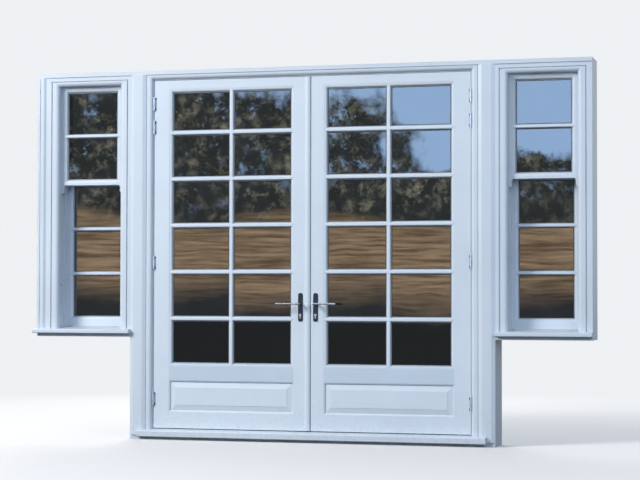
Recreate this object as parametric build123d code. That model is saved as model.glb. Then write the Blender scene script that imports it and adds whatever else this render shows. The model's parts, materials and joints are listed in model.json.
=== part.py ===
from build123d import *
import math
import os

# A pair of outward-opening glazed doors between two sliding sash windows, in one painted timber
# frame. Set-out lines: x from the middle of the doorway, y inwards from the frame's outer face,
# z up from the bottom edge of the door leaves. All lengths are millimetres. Pieces are drawn for
# the right-hand side, and the left-hand ones are their mirror images.

# Doorway and frame
LEAF_HEIGHT = 2438.0
DOORWAY_HALF = 1134.0  # half the clear width between the door jambs
FRAME_DEPTH = 260.0
HINGE_GAP = 3.0
HEAD_GAP = 3.0
SILL_GAP = 6.0
LEAF_FACE = 32.0  # the leaf's outer face lies this far behind the frame's outer face
STOP_GAP = 3.0
STOP_LAP = 14.0
BOARD_SETBACK = 10.0  # plain frame faces lie this far behind the mullion boards
FRAME_MOULD = 51.0  # width of the moulding round the doorway
HEAD_MOULD = 39.0  # the fillet starts this far above the doorway and hides the rest
HEAD_FILLET = 28.0  # the square fillet along the very top
FILLET_SETBACK = 4.0
MULLION_WIDTH = 115.0
BOARD_SLOPE = 25.0  # width of the sloping edges of the boards
GROOVE_FLOOR = 18.0  # shadow grooves reach this far behind the frame's outer face

# Door leaf
LEAF_THICK = 56.0
STILE_EDGE_IN = 108.0  # meeting stile's inner edge, from the middle
HINGE_STILE = 113.0
TOP_RAIL = 63.0
LOCK_RAIL_LOW = 333.0
LOCK_RAIL_HIGH = 433.0
BOTTOM_RAIL = 114.0
MEETING_X = 14.0  # the line where the leaves meet
MEETING_GAP = 4.0
SASH_MOULD = 20.0  # width of the moulding worked on the frame round the glass
GLASS_DEPTH = 18.0  # the glass lies this far behind the face
GLASS_THICK = 14.0
PANE_CLEAR = 0.3
BAR_WIDTH = 26.0
BAR_WEB = 8.0
BAR_FACE = 2.0  # bars lie this far behind the leaf's face
TOP_PANE_SHORT = 26.0  # the top panes are this much lower than the others
BAR_COUNT = 5
BEAD_DEPTH = 18.0
PANEL_MOULD = 10.0
PANEL_MOULD_DEPTH = 12.0
PANEL_FIELD_IN = 46.0  # width of the sloping border of the raised panel
PANEL_RISE = 7.0
FIELD_STEP = 2.0
MEETING_BEAD_WIDTH = 38.0
MEETING_BEAD_RISE = 12.0

# Hinges
HINGE_LOW = 204.0
HINGE_MIDDLE_SHARE = 0.475
HINGE_DROPS = (328.0, 162.0)  # the two upper hinges, measured down from the leaf's top
HINGE_LENGTH = 90.0
HINGE_KNUCKLES = 5
KNUCKLE_RADIUS = 7.0
KNUCKLE_CLEAR = 0.5
HINGE_PIN_RADIUS = 3.0
PIN_CLEAR = 0.05
PLATE_THICK = 1.3
HINGE_PLATE_WIDTH = 30.0
NOTCH_WIDTH = 12.0  # the leaf is notched beside the end knuckles
NOTCH_DEPTH = 8.0

# Handles, locks and bolts
RIGHT_HANDLE_X = 50.0
LEFT_HANDLE_X = 58.0
HANDLE_Z = 872.0
BACKPLATE_WIDTH = 34.0
BACKPLATE_LOW = 749.0
BACKPLATE_HIGH = 946.0
BACKPLATE_THICK = 4.0
LEVER_REACH = 160.0
LEVER_STANDOFF = 70.0
LEVER_RADIUS = 6.5
LEVER_TIP_RADIUS = 8.0
LEVER_TIP_LENGTH = 48.0
NECK_RADIUS = 8.0
NECK_CLEAR = 0.1
SPINDLE_SIDE = 8.0
SPINDLE_HOLE = 10.0
CYLINDER_Z = 795.0
CYLINDER_RADIUS = 8.5
CYLINDER_TAIL = 10.0
CYLINDER_DROP = 24.5
CYLINDER_PROUD = 4.0
STRIP_WIDTH = 20.0
STRIP_THICK = 2.5
STRIP_CLEAR = 0.3
STRIP_END = 20.0
BOLT_SIDE = 10.0
BOLT_LENGTH = 190.0
BOLT_THROW = 18.0
BOLT_CLEAR = 0.5
KEEP_POCKET = 13.0
KEEP_LENGTH = 40.0
KEEP_WIDTH = 26.0
KEEP_THICK = 2.0

# Door sill
SILL_NOSE = 32.0
SILL_NOSE_INSET = 60.0  # the nose stops this far short of the windows
SILL_NOSE_LOW = -61.0
SILL_NOSE_HIGH = -16.0
SILL_NOSE_ROUND = 8.0
SILL_FOOT = -79.0
MULLION_FOOT = -51.0
UPSTAND = 12.0
UPSTAND_WIDTH = 22.0

# Sash windows
WINDOW_WIDTH = 465.0
WINDOW_DROP = 27.0  # the windows' daylight starts this far below the doorway's head
WINDOW_SILL_NOSE = 36.0
WINDOW_NOSE_LOW = 659.0
WINDOW_NOSE_HIGH = 687.0
WINDOW_SILL_FOOT = 636.0
WINDOW_SILL_SLOPE = 0.08
WINDOW_SILL_HORN = 21.0  # the left sill runs on past the frame's outer edge
TRACK_DEPTH = 13.0
OUTER_LINING = 50.0  # thickness of the outer lining in front of the track
LINING_WIDTH = 52.0
LINING_MOULD = 26.0  # the lining's inner edge is rounded over this width
LINING_RISE = 6.0  # and its top is this far above the doorway's head
WINDOW_GROOVE = 8.0
WINDOW_BAND = 25.0
HEAD_GROOVE = 5.0
OUTER_BAND = 38.0
OUTER_SLOPE = 16.0
OUTER_BOARD = 29.0
EDGE_STRIP = 17.0
EDGE_QUIRK = 4.0
SASH_THICK = 76.0
PARTING = 30.0
LIP_START = 15.0  # the bevelled lips slope between these two heights above the meeting rail's foot
LIP_END = 22.0
SASH_CLEAR = 0.3
SASH_STILE = 42.0  # part of the stile that shows
SASH_TOP_RAIL = 38.0
MEETING_SHARE = 0.589  # how far up the daylight the meeting rails start
MEETING_RAIL = 37.0
SASH_SILL_GAP = 3.0
LOWER_RAIL = 68.0
SASH_MOULD_WIDTH = 18.0
SASH_GLASS_DEPTH = 20.0
SASH_GLASS_THICK = 6.0
SASH_BAR = 20.0
SASH_BAR_WEB = 6.0
HORN_DROP = 57.0
FIXING_HEIGHTS = (1000.0, 2100.0)
FIXING_RADIUS = 5.0
FIXING_WALL = 50.0
FIXING_HEAD_RADIUS = 10.0

# Worked-out lines
HINGE_EDGE = DOORWAY_HALF - HINGE_GAP
STILE_EDGE_OUT = HINGE_EDGE - HINGE_STILE
LEAF_BACK = LEAF_FACE + LEAF_THICK
LEAF_MIDDLE = LEAF_FACE + LEAF_THICK / 2
STOP_FACE = LEAF_BACK + STOP_GAP
HEAD_SOFFIT = LEAF_HEIGHT + HEAD_GAP
FILLET_LOW = HEAD_SOFFIT + HEAD_MOULD
FRAME_TOP = FILLET_LOW + HEAD_FILLET
MULLION_IN = DOORWAY_HALF + FRAME_MOULD
MULLION_OUT = MULLION_IN + MULLION_WIDTH
SILL_NOSE_HALF = MULLION_OUT - SILL_NOSE_INSET
OPENING_TOP = LEAF_HEIGHT - TOP_RAIL
DAYLIGHT = OPENING_TOP - LOCK_RAIL_HIGH - 2 * SASH_MOULD
PANE_HEIGHT = (DAYLIGHT - BAR_COUNT * BAR_WIDTH + TOP_PANE_SHORT) / (BAR_COUNT + 1)
BAR_PITCH = PANE_HEIGHT + BAR_WIDTH
FIRST_BAR = LOCK_RAIL_HIGH + SASH_MOULD + PANE_HEIGHT + BAR_WIDTH / 2
BAR_HEIGHTS = [FIRST_BAR + i * BAR_PITCH for i in range(BAR_COUNT)]
BAR_X = (STILE_EDGE_IN + STILE_EDGE_OUT) / 2
GLASS_BACK = GLASS_DEPTH + GLASS_THICK
HINGE_X = DOORWAY_HALF - HINGE_GAP / 2
HINGE_Y = LEAF_FACE - KNUCKLE_RADIUS - KNUCKLE_CLEAR
HINGE_HEIGHTS = [HINGE_LOW, HINGE_MIDDLE_SHARE * LEAF_HEIGHT]
HINGE_HEIGHTS += [LEAF_HEIGHT - drop for drop in HINGE_DROPS]
WINDOW_IN = MULLION_OUT + WINDOW_BAND + WINDOW_GROOVE + LINING_WIDTH
WINDOW_OUT = WINDOW_IN + WINDOW_WIDTH
WINDOW_X = (WINDOW_IN + WINDOW_OUT) / 2
WINDOW_TOP = HEAD_SOFFIT - WINDOW_DROP
UPPER_FACE = BOARD_SETBACK + OUTER_LINING
LOWER_FACE = UPPER_FACE + SASH_THICK + PARTING
LOWER_BACK = LOWER_FACE + SASH_THICK
LINING_IN = WINDOW_IN - LINING_WIDTH
LINING_OUT = WINDOW_OUT + LINING_WIDTH
BAND_OUT = LINING_OUT + WINDOW_GROOVE
BAND_END = BAND_OUT + OUTER_BAND
SILL_FLAT = WINDOW_NOSE_HIGH + WINDOW_SILL_SLOPE * (LOWER_FACE + WINDOW_SILL_NOSE)
LOWER_SASH_BOTTOM = SILL_FLAT + SASH_SILL_GAP
MEETING_RAIL_LOW = LOWER_SASH_BOTTOM + MEETING_SHARE * (WINDOW_TOP - LOWER_SASH_BOTTOM)
MEETING_RAIL_HIGH = MEETING_RAIL_LOW + MEETING_RAIL
LIP_LOW = MEETING_RAIL_LOW + LIP_START
LIP_HIGH = MEETING_RAIL_LOW + LIP_END

# The frame's two outer edges: the left one has a sloping board, and the right one ends at its band
FRAME_RIGHT = BAND_END
FRAME_LEFT = BAND_END + OUTER_SLOPE + OUTER_BOARD + EDGE_STRIP

# Right and left meeting edges, each measured in its own leaf's half
RIGHT_MEETING_EDGE = MEETING_X + MEETING_GAP / 2
LEFT_MEETING_EDGE = -(MEETING_X - MEETING_GAP / 2)

os.makedirs("parts", exist_ok=True)


def block(x0, x1, y0, y1, z0, z1):
    """A block between two corners."""
    middle = Pos((x0 + x1) / 2, (y0 + y1) / 2, (z0 + z1) / 2)
    return middle * Box(abs(x1 - x0), abs(y1 - y0), abs(z1 - z0))


def upright(outline, z0, z1):
    """A plan outline, drawn in x and y, carried up from z0 to z1."""
    return Pos(0, 0, z0) * extrude(outline, amount=z1 - z0, dir=(0, 0, 1))


def along_x(outline, x0, x1):
    """A cross-section, drawn in y and z, carried along x."""
    return Pos(x0, 0, 0) * extrude(Plane.YZ * outline, amount=x1 - x0, dir=(1, 0, 0))


def polygon(*points):
    return make_face(Polyline(*points, close=True))


def mirrored(shape):
    return mirror(shape, about=Plane.YZ)


def rising_edge(x, z, y=0.0):
    """An edge that runs up, with the moulding's width towards +x."""
    return Plane(origin=(x, y, z), x_dir=(0, 0, 1), z_dir=(0, 1, 0))


def falling_edge(x, z, y=0.0):
    """An edge that runs down, with the moulding's width towards -x."""
    return Plane(origin=(x, y, z), x_dir=(0, 0, -1), z_dir=(0, 1, 0))


def lower_edge(x, z, y=0.0):
    """An edge that runs towards -x, with the moulding's width upwards."""
    return Plane(origin=(x, y, z), x_dir=(-1, 0, 0), z_dir=(0, 1, 0))


def upper_edge(x, z, y=0.0):
    """An edge that runs towards +x, with the moulding's width downwards."""
    return Plane(origin=(x, y, z), x_dir=(1, 0, 0), z_dir=(0, 1, 0))


def mitred(edge, length, section, width, start=-1, end=-1):
    """A moulding along an edge. Each end grows (1), shrinks (-1) or is square (0) over the width."""
    bar = extrude(Plane.YZ * section, amount=length + 2 * width, dir=(1, 0, 0))
    bar = Pos(-width, 0, 0) * bar
    outline = polygon((0, 0), (length, 0), (length + end * width, width), (-start * width, width))
    return edge * (bar & extrude(outline, amount=FRAME_DEPTH, both=True))


def mitred_ring(x0, x1, z0, z1, face, section, width):
    """Four mitred strips that line an opening: inner, outer, bottom and top."""
    return (
        mitred(rising_edge(x0, z0, face), z1 - z0, section, width),
        mitred(falling_edge(x1, z1, face), z1 - z0, section, width),
        mitred(lower_edge(x1, z0, face), x1 - x0, section, width),
        mitred(upper_edge(x0, z1, face), x1 - x0, section, width),
    )


def quarter_round(face, edge):
    """A quarter circle that leaves the face level and ends upright at the edge."""
    radius = min(abs(edge[0] - face[0]), abs(edge[1] - face[1]))
    across = math.copysign(radius, edge[0] - face[0])
    down = math.copysign(radius, edge[1] - face[1])
    start = (edge[0] - across, face[1])
    end = (edge[0], face[1] + down)
    short = 1 - math.sqrt(0.5)
    middle = (edge[0] - short * across, face[1] + short * down)
    pieces = [ThreePointArc(start, middle, end)]
    if math.dist(face, start) > 0.01:
        pieces.append(Line(face, start))
    if math.dist(end, edge) > 0.01:
        pieces.append(Line(end, edge))
    return pieces


def ovolo(width, depth, step=2.0, nose=2.0):
    """A quarter round that falls from the face to the glass line, with a small step above it."""
    return make_face([
        Line((0, depth), (0, step)),
        *quarter_round((0, step), (width, depth - nose)),
        Line((width, depth - nose), (width, depth)),
        Line((width, depth), (0, depth)),
    ])


def glazing_bar(width, face, glass, back, web):
    """The cross-section of a moulded glazing bar: a rounded head in front of a thin web."""
    half = width / 2
    flat = 0.2 * width
    edge = glass - 2.0
    return make_face([
        Line((-flat, face), (flat, face)),
        *quarter_round((flat, face), (half, edge)),
        Line((half, edge), (half, glass)),
        Line((half, glass), (web / 2, glass)),
        Line((web / 2, glass), (web / 2, back)),
        Line((web / 2, back), (-web / 2, back)),
        Line((-web / 2, back), (-web / 2, glass)),
        Line((-web / 2, glass), (-half, glass)),
        Line((-half, glass), (-half, edge)),
        *quarter_round((-flat, face), (-half, edge)),
    ])


def bar_grid(x0, x1, z0, z1, uprights, levels, face, section):
    """Glazing bars across an opening, halved into each other where they cross."""
    grid = None
    for x in uprights:
        bar = Pos(x, face, 0) * upright(section, z0, z1)
        grid = bar if grid is None else grid + bar
    for z in levels:
        flat = extrude(Plane(origin=(0, 0, 0), x_dir=(0, 0, 1), z_dir=(-1, 0, 0)) * section,
                       amount=x1 - x0, dir=(1, 0, 0))
        bar = Pos(x0, face, z) * flat
        grid = bar if grid is None else grid + bar
    return grid


def spans(low, high, centres, web):
    """The gaps between bars, from one side of an opening to the other."""
    cuts = [low] + [c + s * web / 2 for c in centres for s in (-1, 1)] + [high]
    return list(zip(cuts[0::2], cuts[1::2]))


def solids_of(*shapes):
    """All the solids of some shapes, as one group."""
    return Compound(children=[solid for shape in shapes for solid in shape.solids()])


def leaf_timber(meeting_edge, handle_x):
    """Stiles, rails, bars, panel, glass and beads of one leaf."""
    low, high = LOCK_RAIL_HIGH, OPENING_TOP
    inner, outer = STILE_EDGE_IN, STILE_EDGE_OUT
    glass_ring = mitred_ring(inner, outer, low, high, LEAF_FACE,
                             ovolo(SASH_MOULD, GLASS_DEPTH), SASH_MOULD)
    front_ring = mitred_ring(inner, outer, BOTTOM_RAIL, LOCK_RAIL_LOW, LEAF_FACE,
                             ovolo(PANEL_MOULD, PANEL_MOULD_DEPTH), PANEL_MOULD)
    middle = Plane(origin=(0, LEAF_MIDDLE, 0), z_dir=(0, 1, 0))
    back_ring = [mirror(strip, about=middle) for strip in front_ring]
    edges = [sum(strips[1:], strips[0]) for strips in zip(front_ring, back_ring)]

    meeting_stile = block(meeting_edge, inner, LEAF_FACE, LEAF_BACK, 0, LEAF_HEIGHT)
    meeting_stile = meeting_stile + glass_ring[0] + edges[0]
    meeting_stile = meeting_stile - lock_cuts(meeting_edge, handle_x)
    hinge_stile = block(outer, HINGE_EDGE, LEAF_FACE, LEAF_BACK, 0, LEAF_HEIGHT)
    hinge_stile = hinge_stile + glass_ring[1] + edges[1]
    knuckle = HINGE_LENGTH / HINGE_KNUCKLES
    for z in HINGE_HEIGHTS:
        for low_end in (z - HINGE_LENGTH / 2, z + HINGE_LENGTH / 2 - knuckle):
            hinge_stile = hinge_stile - block(HINGE_EDGE - NOTCH_WIDTH, HINGE_EDGE, LEAF_FACE,
                                              LEAF_FACE + NOTCH_DEPTH, low_end, low_end + knuckle)
    top_rail = block(inner, outer, LEAF_FACE, LEAF_BACK, high, LEAF_HEIGHT) + glass_ring[3]
    lock_rail = block(inner, outer, LEAF_FACE, LEAF_BACK, LOCK_RAIL_LOW, low)
    lock_rail = lock_rail + glass_ring[2] + edges[3]
    bottom_rail = block(inner, outer, LEAF_FACE, LEAF_BACK, 0, BOTTOM_RAIL) + edges[2]

    section = glazing_bar(BAR_WIDTH, BAR_FACE, GLASS_DEPTH, GLASS_BACK + BEAD_DEPTH, BAR_WEB)
    bars = bar_grid(inner, outer, low, high, [BAR_X], BAR_HEIGHTS, LEAF_FACE, section)
    for strip in glass_ring:
        bars = bars - strip

    bead_width = (BAR_WIDTH - BAR_WEB) / 2
    bead = polygon((0, GLASS_BACK), (bead_width, GLASS_BACK), (bead_width, GLASS_BACK + 12),
                   (bead_width - 5, GLASS_BACK + BEAD_DEPTH), (0, GLASS_BACK + BEAD_DEPTH))
    panes = []
    beads = []
    for x0, x1 in spans(inner, outer, [BAR_X], BAR_WEB):
        for z0, z1 in spans(low, high, BAR_HEIGHTS, BAR_WEB):
            panes.append(block(x0 + PANE_CLEAR, x1 - PANE_CLEAR, LEAF_FACE + GLASS_DEPTH,
                               LEAF_FACE + GLASS_BACK, z0 + PANE_CLEAR, z1 - PANE_CLEAR))
            beads.extend(mitred_ring(x0, x1, z0, z1, LEAF_FACE, bead, bead_width))
    return {
        "hinge_stile": hinge_stile,
        "meeting_stile": meeting_stile,
        "top_rail": top_rail,
        "lock_rail": lock_rail,
        "bottom_rail": bottom_rail,
        "glazing_bars": bars,
        "glass": solids_of(*panes),
        "glazing_beads": solids_of(*beads),
        "panel": raised_panel(),
    }


def raised_panel():
    """The solid bottom panel, with a sloping border round a raised field on both faces."""
    front = LEAF_FACE + PANEL_MOULD_DEPTH
    back = LEAF_BACK - PANEL_MOULD_DEPTH
    board = block(STILE_EDGE_IN + PANE_CLEAR, STILE_EDGE_OUT - PANE_CLEAR, front, back,
                  BOTTOM_RAIL + PANE_CLEAR, LOCK_RAIL_LOW - PANE_CLEAR)
    width = STILE_EDGE_OUT - STILE_EDGE_IN
    height = LOCK_RAIL_LOW - BOTTOM_RAIL
    rim = PANEL_MOULD + PANE_CLEAR
    centre_z = (BOTTOM_RAIL + LOCK_RAIL_LOW) / 2
    base_plane = Plane(origin=(BAR_X, front, centre_z), x_dir=(1, 0, 0), z_dir=(0, -1, 0))
    base = base_plane * Rectangle(width - 2 * rim, height - 2 * rim)
    crown = base_plane.offset(PANEL_RISE) * Rectangle(width - 2 * PANEL_FIELD_IN,
                                                      height - 2 * PANEL_FIELD_IN)
    slope = loft([base.face(), crown.face()])
    field = base_plane.offset(PANEL_RISE) * Rectangle(width - 2 * PANEL_FIELD_IN - 4,
                                                      height - 2 * PANEL_FIELD_IN - 4)
    raised = slope + extrude(field, amount=FIELD_STEP, dir=(0, -1, 0))
    middle = Plane(origin=(0, LEAF_MIDDLE, 0), z_dir=(0, 1, 0))
    return board + raised + mirror(raised, about=middle)


def euro_profile(handle_x, clearance):
    """The keyhole-shaped cross-section of the lock cylinder, in x and z about its plug."""
    plane = Plane(origin=(handle_x, 0, CYLINDER_Z), x_dir=(1, 0, 0), z_dir=(0, -1, 0))
    tail_half = CYLINDER_TAIL / 2 + clearance
    tail = Pos(0, -(CYLINDER_DROP - CYLINDER_TAIL / 2) / 2) * Rectangle(
        2 * tail_half, CYLINDER_DROP - CYLINDER_TAIL / 2)
    foot = Pos(0, -(CYLINDER_DROP - CYLINDER_TAIL / 2)) * Circle(tail_half)
    return plane * (Circle(CYLINDER_RADIUS + clearance) + tail + foot)


def through_leaf(profile, low, high):
    """A profile in x and z, carried through from y = low to y = high."""
    return Pos(0, low, 0) * extrude(profile, amount=high - low, dir=(0, 1, 0))


def lock_cuts(meeting_edge, handle_x):
    """What is cut from the meeting stile for the spindle, the cylinder, the strip and the bolts."""
    spindle = through_leaf(round_hole(handle_x, SPINDLE_HOLE), LEAF_FACE, LEAF_BACK)
    cylinder = through_leaf(euro_profile(handle_x, PANE_CLEAR), LEAF_FACE, LEAF_BACK)
    half = STRIP_WIDTH / 2 + STRIP_CLEAR
    groove = block(meeting_edge, meeting_edge + STRIP_THICK + STRIP_CLEAR,
                   LEAF_MIDDLE - half, LEAF_MIDDLE + half,
                   STRIP_END - STRIP_CLEAR, LEAF_HEIGHT - STRIP_END + STRIP_CLEAR)
    x0, x1 = bolt_span(meeting_edge)
    side = BOLT_SIDE / 2 + BOLT_CLEAR
    cuts = spindle + cylinder + groove
    run = BOLT_LENGTH + BOLT_THROW
    for z0, z1 in ((0, run), (LEAF_HEIGHT - run, LEAF_HEIGHT)):
        cuts = cuts + block(meeting_edge + STRIP_THICK, x1 + BOLT_CLEAR,
                            LEAF_MIDDLE - side, LEAF_MIDDLE + side, z0, z1)
    return cuts


def bolt_span(meeting_edge):
    """Where a bolt lies across the leaf, just behind the lock strip."""
    x0 = meeting_edge + STRIP_THICK + BOLT_CLEAR
    return x0, x0 + BOLT_SIDE


def round_hole(handle_x, radius):
    plane = Plane(origin=(handle_x, 0, HANDLE_Z), x_dir=(1, 0, 0), z_dir=(0, -1, 0))
    return plane * Circle(radius)


def leaf_lock(meeting_edge, handle_x):
    """Back plates, cylinder, edge strip and the two bolts of one leaf."""
    middle = Plane(origin=(0, LEAF_MIDDLE, 0), z_dir=(0, 1, 0))
    plate_plane = Plane(origin=(handle_x, LEAF_FACE, (BACKPLATE_LOW + BACKPLATE_HIGH) / 2),
                        x_dir=(1, 0, 0), z_dir=(0, -1, 0))
    outline = RectangleRounded(BACKPLATE_WIDTH, BACKPLATE_HIGH - BACKPLATE_LOW,
                               0.4 * BACKPLATE_WIDTH)
    plate = extrude(plate_plane * outline, amount=BACKPLATE_THICK, dir=(0, -1, 0))
    plate = chamfer(plate.faces().sort_by(Axis.Y)[0].edges(), 0.3 * BACKPLATE_THICK)
    face = LEAF_FACE - BACKPLATE_THICK
    plate = plate - through_leaf(round_hole(handle_x, NECK_RADIUS + NECK_CLEAR), face, LEAF_FACE)
    plate = plate - through_leaf(euro_profile(handle_x, NECK_CLEAR), face, LEAF_FACE)

    proud = BACKPLATE_THICK + CYLINDER_PROUD
    cylinder = through_leaf(euro_profile(handle_x, 0), LEAF_FACE - proud, LEAF_BACK + proud)
    strip = block(meeting_edge, meeting_edge + STRIP_THICK, LEAF_MIDDLE - STRIP_WIDTH / 2,
                  LEAF_MIDDLE + STRIP_WIDTH / 2, STRIP_END, LEAF_HEIGHT - STRIP_END)
    x0, x1 = bolt_span(meeting_edge)
    bolts = {}
    for name, z0 in (("bottom", 1.0), ("top", LEAF_HEIGHT - 1.0 - BOLT_LENGTH)):
        bolt = block(x0, x1, LEAF_MIDDLE - BOLT_SIDE / 2, LEAF_MIDDLE + BOLT_SIDE / 2,
                     z0, z0 + BOLT_LENGTH)
        end = bolt.faces().sort_by(Axis.Z)[-1 if name == "top" else 0]
        bolts[name + "_bolt"] = chamfer(end.edges(), 2.0)
    return {
        "handle_plates": solids_of(plate, mirror(plate, about=middle)),
        "lock_cylinder": cylinder,
        "lock_strip": strip,
        **bolts,
    }


def lever_pair(handle_x):
    """Outer and inner lever, with the square spindle that joins them through the leaf."""
    arm_y = LEAF_FACE - LEVER_STANDOFF
    neck_end = LEAF_FACE + 2.0
    neck = through_leaf(round_hole(handle_x, NECK_RADIUS), arm_y, neck_end)
    back = NECK_RADIUS + 0.5
    tip = LEVER_REACH
    thick = LEVER_TIP_RADIUS
    short = 1 - math.sqrt(0.5)
    outline = make_face([
        ThreePointArc((-back, 0), (-back * math.sqrt(0.5), back * math.sqrt(0.5)), (0, back)),
        Line((0, back), (4 * back, LEVER_RADIUS)),
        Line((4 * back, LEVER_RADIUS), (tip - LEVER_TIP_LENGTH, LEVER_RADIUS)),
        Line((tip - LEVER_TIP_LENGTH, LEVER_RADIUS), (tip - thick, thick)),
        ThreePointArc((tip - thick, thick), (tip - short * thick, (1 - short) * thick), (tip, 0)),
        Line((tip, 0), (-back, 0)),
    ])
    lever = Pos(handle_x, arm_y, HANDLE_Z) * revolve(outline, Axis.X) + neck
    middle = Plane(origin=(0, LEAF_MIDDLE, 0), z_dir=(0, 1, 0))
    half = SPINDLE_SIDE / 2
    spindle = block(handle_x - half, handle_x + half, neck_end,
                    2 * LEAF_MIDDLE - neck_end, HANDLE_Z - half, HANDLE_Z + half)
    return solids_of(lever, spindle, mirror(lever, about=middle))


def hinge_half(z, on_frame):
    """One half of a butt hinge: its plate in the gap and its share of the knuckles."""
    low = z - HINGE_LENGTH / 2
    side = 1 if on_frame else -1
    face = DOORWAY_HALF if on_frame else HINGE_EDGE
    inner = face - side * PLATE_THICK
    plate_start = HINGE_Y + KNUCKLE_RADIUS + KNUCKLE_CLEAR
    half = block(inner, face, plate_start, plate_start + HINGE_PLATE_WIDTH, low, low + HINGE_LENGTH)
    knuckle = HINGE_LENGTH / HINGE_KNUCKLES
    ring = Circle(KNUCKLE_RADIUS) - Circle(HINGE_PIN_RADIUS + PIN_CLEAR)
    for i in range(0 if on_frame else 1, HINGE_KNUCKLES, 2):
        z0 = low + i * knuckle + PANE_CLEAR / 2
        z1 = z0 + knuckle - PANE_CLEAR
        barrel = Pos(HINGE_X, HINGE_Y, 0) * upright(ring, z0, z1)
        web = block(inner, face, HINGE_Y + HINGE_PIN_RADIUS + 1, plate_start + 1, z0, z1)
        half = half + barrel + web
    return half


def hinge_pin(z):
    """The loose pin, with a small button at each end."""
    half = HINGE_LENGTH / 2
    pin = Pos(HINGE_X, HINGE_Y, z) * Cylinder(HINGE_PIN_RADIUS, HINGE_LENGTH)
    for end in (-1, 1):
        button = Cylinder(0.8 * KNUCKLE_RADIUS, 3.0)
        pin = pin + Pos(HINGE_X, HINGE_Y, z + end * (half + 1.5)) * button
    return pin


def door_sill():
    """The timber threshold: sloping top, rounded nose, a foot behind and an upstand inside."""
    section = polygon((-SILL_NOSE, SILL_NOSE_LOW), (-SILL_NOSE, SILL_NOSE_HIGH),
                      (LEAF_FACE, -SILL_GAP), (STOP_FACE, -SILL_GAP), (STOP_FACE, UPSTAND),
                      (STOP_FACE + UPSTAND_WIDTH, UPSTAND), (STOP_FACE + UPSTAND_WIDTH + 8, 0),
                      (FRAME_DEPTH, 0), (FRAME_DEPTH, SILL_FOOT), (BOARD_SETBACK, SILL_FOOT),
                      (BOARD_SETBACK, SILL_NOSE_LOW))
    body = along_x(section, -MULLION_IN, MULLION_IN)
    nose = along_x(section, -SILL_NOSE_HALF, SILL_NOSE_HALF)
    nose = nose & block(-SILL_NOSE_HALF, SILL_NOSE_HALF, -SILL_NOSE, 0, SILL_FOOT, 0)
    sill = body + nose
    drip = SILL_NOSE / 2
    groove = block(-SILL_NOSE_HALF + drip, SILL_NOSE_HALF - drip, 4 - drip, -4 - drip,
                   SILL_NOSE_LOW, SILL_NOSE_LOW + 6)
    sill = sill - groove
    front = [e for e in sill.edges() if abs(e.center().Y + SILL_NOSE) < 0.1
             and abs(e.center().X) < 1 and e.length > SILL_NOSE_HALF]
    sill = fillet(front, SILL_NOSE_ROUND)
    for side in (-1, 1):
        sill = sill + block(side * MULLION_IN, side * MULLION_OUT, BOARD_SETBACK, FRAME_DEPTH,
                            SILL_FOOT, MULLION_FOOT)
    for x0, x1 in keep_pockets():
        side = KEEP_POCKET / 2
        sill = sill - block(x0, x1, LEAF_MIDDLE - side, LEAF_MIDDLE + side,
                            -SILL_GAP - 2 * BOLT_THROW, -SILL_GAP)
    return sill - keep_plate("bottom", pierced=False)


def keep_pockets():
    """Where the bolts of both leaves enter the head and the sill."""
    pockets = []
    for edge, side in ((RIGHT_MEETING_EDGE, 1), (LEFT_MEETING_EDGE, -1)):
        x0, x1 = bolt_span(edge)
        grow = (KEEP_POCKET - BOLT_SIDE) / 2
        pockets.append(tuple(sorted((side * (x0 - grow), side * (x1 + grow)))))
    return pockets


def keep_plate(end, pierced):
    """The metal keep let into the sill or the head, with a hole for each bolt."""
    pockets = keep_pockets()
    low = min(x0 for x0, x1 in pockets)
    high = max(x1 for x0, x1 in pockets)
    border = (KEEP_LENGTH - KEEP_POCKET) / 2
    z1 = -SILL_GAP if end == "bottom" else HEAD_SOFFIT + KEEP_THICK
    z0 = z1 - KEEP_THICK
    plate = block(low - border, high + border, LEAF_MIDDLE - KEEP_WIDTH / 2,
                  LEAF_MIDDLE + KEEP_WIDTH / 2, z0, z1)
    side = KEEP_POCKET / 2
    for x0, x1 in pockets if pierced else ():
        plate = plate - block(x0, x1, LEAF_MIDDLE - side, LEAF_MIDDLE + side, z0, z1)
    return plate


def frame_ovolo():
    """The doorway's moulding: a flat at the leaf, a quarter round, a band and a quirk."""
    face, back = BOARD_SETBACK, LEAF_FACE
    band, quirk = 34.0, FRAME_MOULD - 3.0
    return make_face([
        Line((6, back), (FRAME_MOULD, back)),
        Line((FRAME_MOULD, back), (FRAME_MOULD, GROOVE_FLOOR)),
        Line((FRAME_MOULD, GROOVE_FLOOR), (quirk, GROOVE_FLOOR)),
        Line((quirk, GROOVE_FLOOR), (quirk, face)),
        Line((quirk, face), (band, face)),
        *quarter_round((band, face), (6, back)),
    ])


def window_recess():
    """What is cut round one window: a square shadow groove and the lining's rounded inner edge."""
    low = WINDOW_SILL_FOOT
    top = HEAD_SOFFIT + LINING_RISE
    groove = block(LINING_IN - WINDOW_GROOVE, BAND_OUT, BOARD_SETBACK, GROOVE_FLOOR,
                   low, top + HEAD_GROOVE)
    groove = groove - block(LINING_IN, LINING_OUT, BOARD_SETBACK, GROOVE_FLOOR, low, top)
    width = LINING_MOULD
    corner = make_face([
        Line((0, 0), (width, 0)),
        Line((width, 0), (width, width)),
        *quarter_round((0, 0), (width, width)),
    ])
    x0, x1 = WINDOW_IN - width, WINDOW_OUT + width
    high = WINDOW_TOP + width
    rise = high - low
    strips = (
        mitred(rising_edge(x0, low, BOARD_SETBACK), rise, corner, width, start=0),
        mitred(falling_edge(x1, high, BOARD_SETBACK), rise, corner, width, end=0),
        mitred(upper_edge(x0, high, BOARD_SETBACK), x1 - x0, corner, width),
    )
    return groove + strips[0] + strips[1] + strips[2]


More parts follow.
